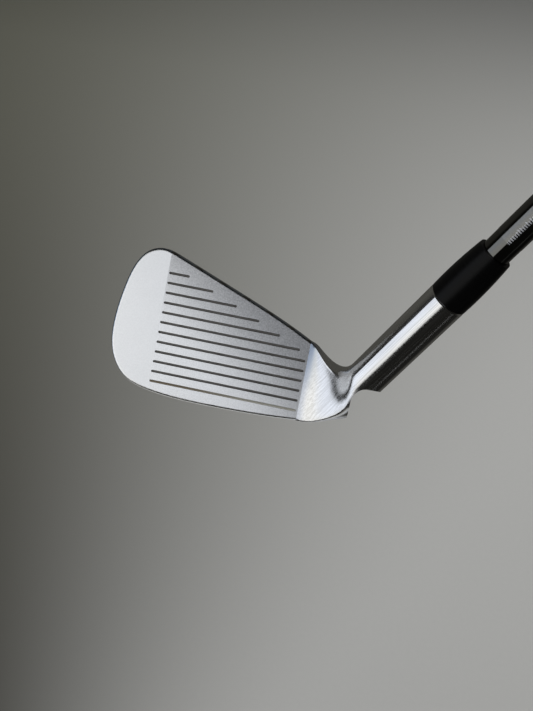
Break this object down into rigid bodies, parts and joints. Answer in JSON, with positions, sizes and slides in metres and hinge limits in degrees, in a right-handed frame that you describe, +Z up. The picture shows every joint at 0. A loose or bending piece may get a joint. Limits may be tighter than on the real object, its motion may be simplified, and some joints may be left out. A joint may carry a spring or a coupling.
{
  "type": "iron golf club",
  "caption": "Right-handed cavity-back iron golf club with a notched steel hosel, black ferrule, stepped steel shaft and rubber grip.",
  "frame": {"origin": "point where the shaft axis meets the ground at address, under the heel of the sole", "axes": "+Z up, face looking towards -Y, toe towards -X, shaft rising towards +X at 61.5 degrees"},
  "size_m": [0.5423, 0.0405, 0.8428],
  "materials": {
    "head_steel": "blasted face, satin toe, polished heel and hosel",
    "tungsten": "turned",
    "white_paint": "paint fill",
    "pad_rubber": "matte",
    "badge": "brushed",
    "brass_plug": "turned",
    "epoxy": "cured resin",
    "black_plastic": "gloss black",
    "chrome_steel": "chrome plated",
    "printed_film": "clear film with silver marks",
    "tape": "crepe tape",
    "grip_rubber": "textured",
    "cap_rubber": "moulded"
  },
  "bodies": {
    "root": {"club_head": "head_steel", "toe_weight": "tungsten", "scoreline_paint": "white_paint", "damping_pad": "pad_rubber", "cavity_badge": "badge", "tip_weight": "brass_plug", "shaft_epoxy": "epoxy", "ferrule": "black_plastic", "shaft": "chrome_steel", "shaft_band": "printed_film", "grip_tape": "tape", "grip": "grip_rubber", "grip_cap": "cap_rubber"}
  },
  "joints": []
}
